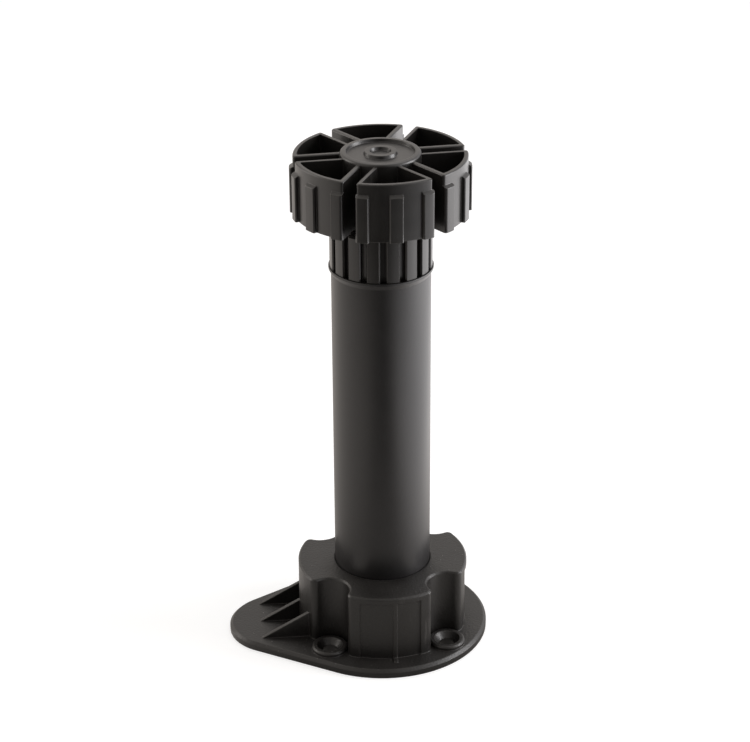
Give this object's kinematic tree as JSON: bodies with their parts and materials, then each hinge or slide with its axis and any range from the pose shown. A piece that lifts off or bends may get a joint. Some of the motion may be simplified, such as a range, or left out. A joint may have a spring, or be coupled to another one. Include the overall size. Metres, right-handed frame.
{
  "type": "adjustable cabinet leg",
  "caption": "Round furniture leg with a screw-on drop-shaped mounting plate at one end and a six-sector levelling foot that screws in and out at the other.",
  "frame": {"origin": "centre of the leg's axis on the underside of the mounting plate, the face that goes against the cabinet", "axes": "+Z runs along the leg from the plate to the foot's floor face (the leg is drawn as pictured, standing on its plate); the drop-shaped tip of the plate points along -X"},
  "size_m": [0.0823, 0.0664, 0.161],
  "materials": {
    "plate_plastic": "satin black moulded plastic, fine grain on the top face",
    "tube_coat": "matte black powder coat on thin steel tube",
    "collar_plastic": "satin black moulded plastic",
    "foot_plastic": "satin black moulded plastic"
  },
  "bodies": {
    "leg": {"mounting_plate": "plate_plastic", "leg_tube": "tube_coat", "thread_collar": "collar_plastic"},
    "foot": {"adjusting_foot": "foot_plastic"}
  },
  "joints": [
    {"name": "foot_height", "type": "slide", "parent": "leg", "child": "foot", "axis": [0, 0, 1], "range_m": [-0.0034, 0.025]}
  ]
}
